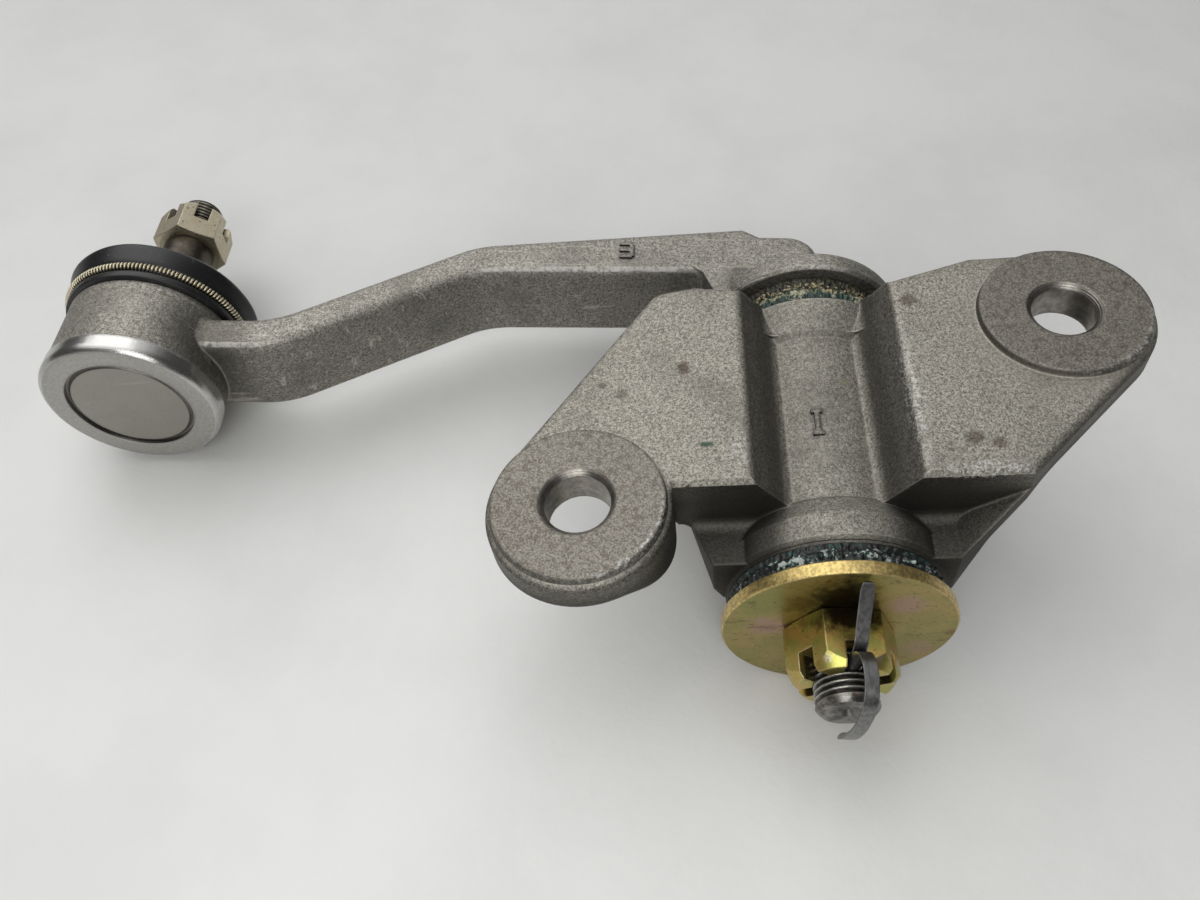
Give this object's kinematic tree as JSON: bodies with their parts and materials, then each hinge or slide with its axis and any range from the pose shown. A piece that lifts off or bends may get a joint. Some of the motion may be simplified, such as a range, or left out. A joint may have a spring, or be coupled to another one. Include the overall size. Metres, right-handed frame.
{
  "type": "steering idler arm",
  "caption": "Forged steering idler arm: a two-wing frame bracket on a pivot tube carries a swinging cranked arm that ends in a booted ball joint with a slotted stud nut.",
  "frame": {"origin": "midway between the two frame bolts, on the plane of the boss faces", "axes": "the boss faces look along -Y, +Z runs along the pivot towards the arm and the stud, -X towards the ball joint"},
  "size_m": [0.2781, 0.0707, 0.1586],
  "materials": {
    "bracket_forging": "shot-blasted forging, speckled grey",
    "arm_forging": "shot-blasted forging, brown-grey",
    "bush_bronze": "plain turned bronze",
    "seal_rubber": "black, greasy",
    "shaft_steel": "turned steel with light rust",
    "yellow_zinc": "yellow chromate on zinc",
    "pin_steel": "drawn steel",
    "cap_steel": "pressed steel, dull",
    "seat_plastic": "moulded",
    "stud_steel": "dark oiled steel",
    "pale_zinc": "pale champagne zinc",
    "boot_rubber": "semi-gloss black"
  },
  "bodies": {
    "bracket": {"bracket": "bracket_forging", "upper_bush": "bush_bronze", "lower_bush": "bush_bronze", "upper_seal": "seal_rubber", "lower_seal": "seal_rubber"},
    "arm": {"idler_arm": "arm_forging", "pivot_shaft": "shaft_steel", "upper_thrust_washer": "bush_bronze", "lower_thrust_washer": "bush_bronze", "pivot_washer": "yellow_zinc", "pivot_nut": "yellow_zinc", "cotter_pin": "pin_steel", "end_cap": "cap_steel", "seat_spring": "pin_steel", "lower_seat": "seat_plastic", "upper_seat": "seat_plastic", "boot_ring": "pale_zinc"},
    "boot": {"dust_boot": "boot_rubber"},
    "stud": {"ball_stud": "stud_steel", "stud_nut": "pale_zinc"}
  },
  "joints": [
    {"name": "arm_swing", "type": "hinge", "parent": "bracket", "child": "arm", "pos_m": [0, 0.0329, 0], "axis": [0, 0, 1], "range_deg": [-45, 45]},
    {"name": "stud_tilt", "type": "hinge", "parent": "arm", "child": "boot", "pos_m": [-0.17693, 0.01337, 0.037], "axis": [-0.1097, 0.994, 0], "range_deg": [-18, 18], "deforming": ["dust_boot"]},
    {"name": "stud_swivel", "type": "hinge", "parent": "boot", "child": "stud", "pos_m": [-0.17693, 0.01337, 0.037], "axis": [0, 0, 1], "continuous": true}
  ]
}
